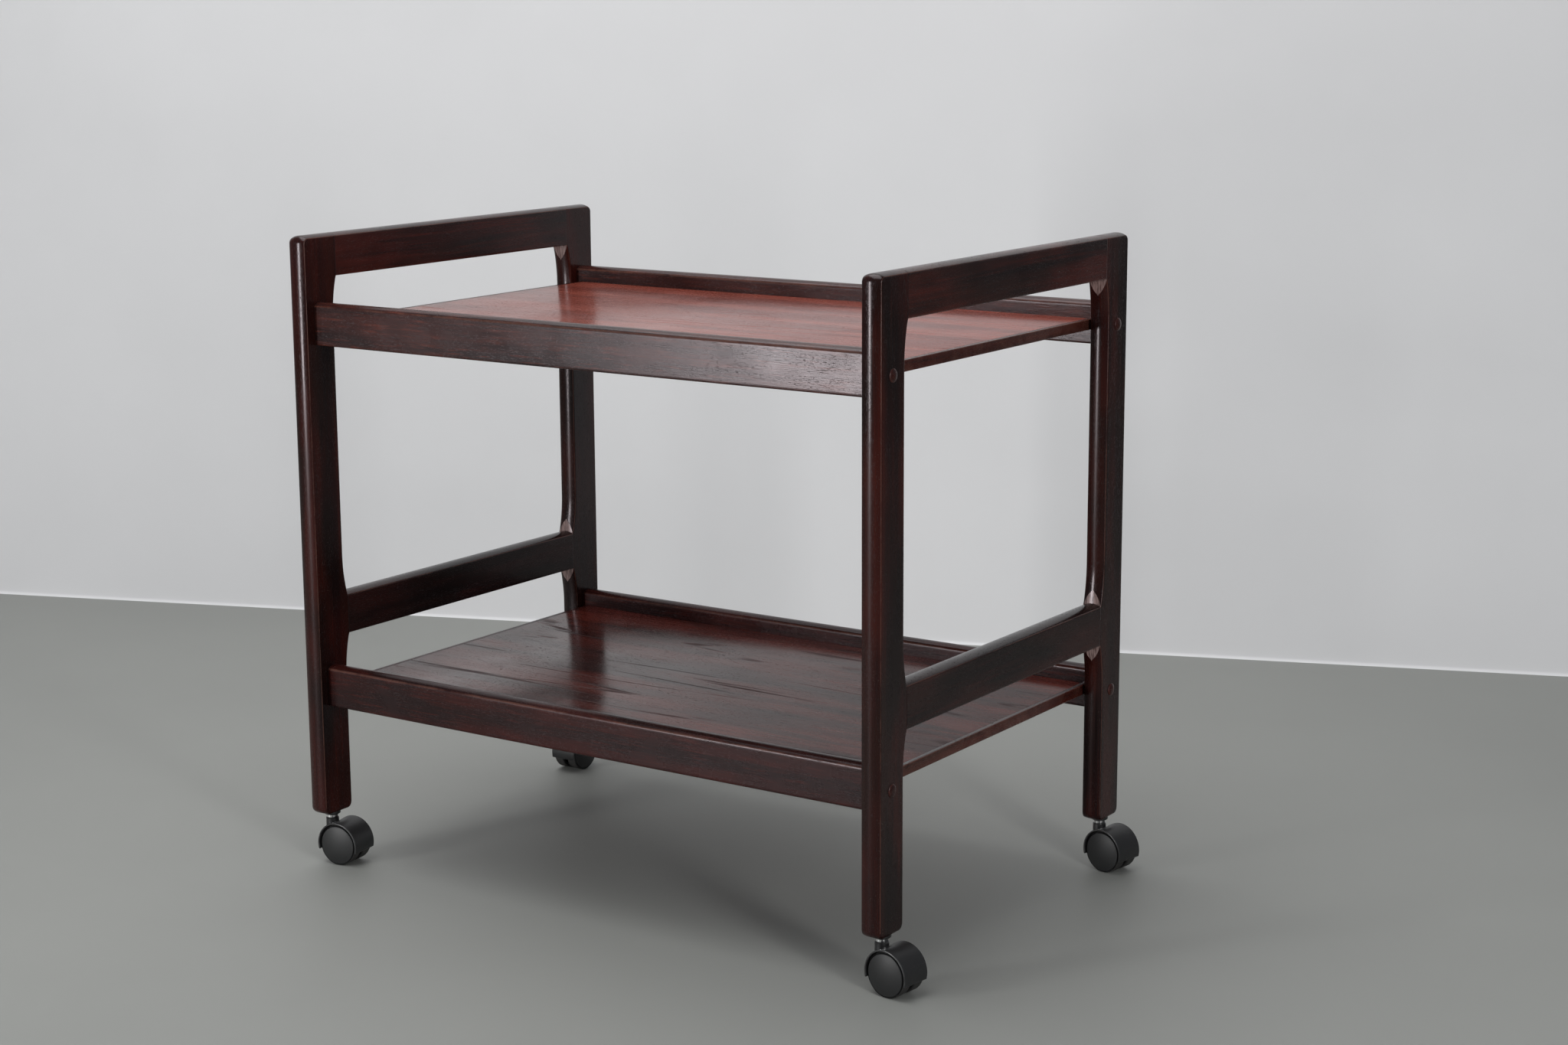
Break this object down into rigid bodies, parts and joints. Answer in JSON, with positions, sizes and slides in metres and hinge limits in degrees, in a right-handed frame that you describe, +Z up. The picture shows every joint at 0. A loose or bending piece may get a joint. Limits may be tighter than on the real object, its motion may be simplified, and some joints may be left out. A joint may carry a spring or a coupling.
{
  "type": "two-tier serving cart",
  "caption": "Wooden serving cart with two railed shelves between end frames whose top rails are handles, on hooded twin-wheel swivel casters.",
  "frame": {"origin": "on the floor, at the middle of the rectangle that the cart covers with its casters as they stand", "axes": "+X along the shelves towards the right-hand end frame, +Y from the front long rails to the rear ones, +Z up"},
  "size_m": [0.6866, 0.432, 0.6085],
  "materials": {
    "frame_wood": "dark red-brown stain under satin lacquer",
    "rail_wood": "dark red-brown stain under satin lacquer, open grain",
    "shelf_veneer": "red-brown veneer, satin lacquer",
    "lipping_wood": "dark satin lacquer",
    "dowel_wood": "plain hardwood",
    "plug_wood": "dark satin lacquer",
    "plain_steel": "zinc plated",
    "chromed_steel": "polished",
    "socket_plastic": "matt black",
    "hood_plastic": "satin black",
    "wheel_plastic": "satin dark grey"
  },
  "bodies": {
    "cart": {"leg_left_front": "frame_wood", "leg_left_rear": "frame_wood", "leg_right_front": "frame_wood", "leg_right_rear": "frame_wood", "handle_rail_left": "frame_wood", "stretcher_left": "frame_wood", "handle_rail_right": "frame_wood", "stretcher_right": "frame_wood", "long_rail_upper_front": "rail_wood", "long_rail_upper_rear": "rail_wood", "long_rail_lower_front": "rail_wood", "long_rail_lower_rear": "rail_wood", "shelf_upper": "shelf_veneer", "shelf_upper_lipping_left": "lipping_wood", "shelf_upper_lipping_right": "lipping_wood", "shelf_lower": "shelf_veneer", "shelf_lower_lipping_left": "lipping_wood", "shelf_lower_lipping_right": "lipping_wood", "dowels_left": "dowel_wood", "rail_screws_left": "plain_steel", "screw_plugs_left": "plug_wood", "dowels_right": "dowel_wood", "rail_screws_right": "plain_steel", "screw_plugs_right": "plug_wood", "caster_left_front_socket": "socket_plastic", "caster_left_rear_socket": "socket_plastic", "caster_right_front_socket": "socket_plastic", "caster_right_rear_socket": "socket_plastic"},
    "caster_left_front": {"caster_left_front_stem": "chromed_steel", "caster_left_front_hood": "hood_plastic", "caster_left_front_axle": "plain_steel"},
    "caster_left_front_wheel_a": {"caster_left_front_wheel_a": "wheel_plastic"},
    "caster_left_front_wheel_b": {"caster_left_front_wheel_b": "wheel_plastic"},
    "caster_left_rear": {"caster_left_rear_stem": "chromed_steel", "caster_left_rear_hood": "hood_plastic", "caster_left_rear_axle": "plain_steel"},
    "caster_left_rear_wheel_a": {"caster_left_rear_wheel_a": "wheel_plastic"},
    "caster_left_rear_wheel_b": {"caster_left_rear_wheel_b": "wheel_plastic"},
    "caster_right_front": {"caster_right_front_stem": "chromed_steel", "caster_right_front_hood": "hood_plastic", "caster_right_front_axle": "plain_steel"},
    "caster_right_front_wheel_a": {"caster_right_front_wheel_a": "wheel_plastic"},
    "caster_right_front_wheel_b": {"caster_right_front_wheel_b": "wheel_plastic"},
    "caster_right_rear": {"caster_right_rear_stem": "chromed_steel", "caster_right_rear_hood": "hood_plastic", "caster_right_rear_axle": "plain_steel"},
    "caster_right_rear_wheel_a": {"caster_right_rear_wheel_a": "wheel_plastic"},
    "caster_right_rear_wheel_b": {"caster_right_rear_wheel_b": "wheel_plastic"}
  },
  "joints": [
    {"name": "caster_left_front_swivel", "type": "hinge", "parent": "cart", "child": "caster_left_front", "pos_m": [-0.32945, -0.196, 0.0505], "axis": [0, 0, 1], "continuous": true},
    {"name": "caster_left_front_wheel_a_spin", "type": "hinge", "parent": "caster_left_front", "child": "caster_left_front_wheel_a", "pos_m": [-0.31456, -0.19417, 0.02], "axis": [-0.1219, 0.9925, 0], "continuous": true},
    {"name": "caster_left_front_wheel_b_spin", "type": "hinge", "parent": "caster_left_front", "child": "caster_left_front_wheel_b", "pos_m": [-0.31456, -0.19417, 0.02], "axis": [-0.1219, 0.9925, 0], "continuous": true},
    {"name": "caster_left_rear_swivel", "type": "hinge", "parent": "cart", "child": "caster_left_rear", "pos_m": [-0.32945, 0.196, 0.0505], "axis": [0, 0, 1], "continuous": true},
    {"name": "caster_left_rear_wheel_a_spin", "type": "hinge", "parent": "caster_left_rear", "child": "caster_left_rear_wheel_a", "pos_m": [-0.32919, 0.181, 0.02], "axis": [0.9998, 0.0175, 0], "continuous": true},
    {"name": "caster_left_rear_wheel_b_spin", "type": "hinge", "parent": "caster_left_rear", "child": "caster_left_rear_wheel_b", "pos_m": [-0.32919, 0.181, 0.02], "axis": [0.9998, 0.0175, 0], "continuous": true},
    {"name": "caster_right_front_swivel", "type": "hinge", "parent": "cart", "child": "caster_right_front", "pos_m": [0.30155, -0.196, 0.0505], "axis": [0, 0, 1], "continuous": true},
    {"name": "caster_right_front_wheel_a_spin", "type": "hinge", "parent": "caster_right_front", "child": "caster_right_front_wheel_a", "pos_m": [0.31642, -0.19796, 0.02], "axis": [0.1305, 0.9914, 0], "continuous": true},
    {"name": "caster_right_front_wheel_b_spin", "type": "hinge", "parent": "caster_right_front", "child": "caster_right_front_wheel_b", "pos_m": [0.31642, -0.19796, 0.02], "axis": [0.1305, 0.9914, 0], "continuous": true},
    {"name": "caster_right_rear_swivel", "type": "hinge", "parent": "cart", "child": "caster_right_rear", "pos_m": [0.30155, 0.196, 0.0505], "axis": [0, 0, 1], "continuous": true},
    {"name": "caster_right_rear_wheel_a_spin", "type": "hinge", "parent": "caster_right_rear", "child": "caster_right_rear_wheel_a", "pos_m": [0.31625, 0.19301, 0.02], "axis": [0.1994, 0.9799, 0], "continuous": true},
    {"name": "caster_right_rear_wheel_b_spin", "type": "hinge", "parent": "caster_right_rear", "child": "caster_right_rear_wheel_b", "pos_m": [0.31625, 0.19301, 0.02], "axis": [0.1994, 0.9799, 0], "continuous": true}
  ]
}
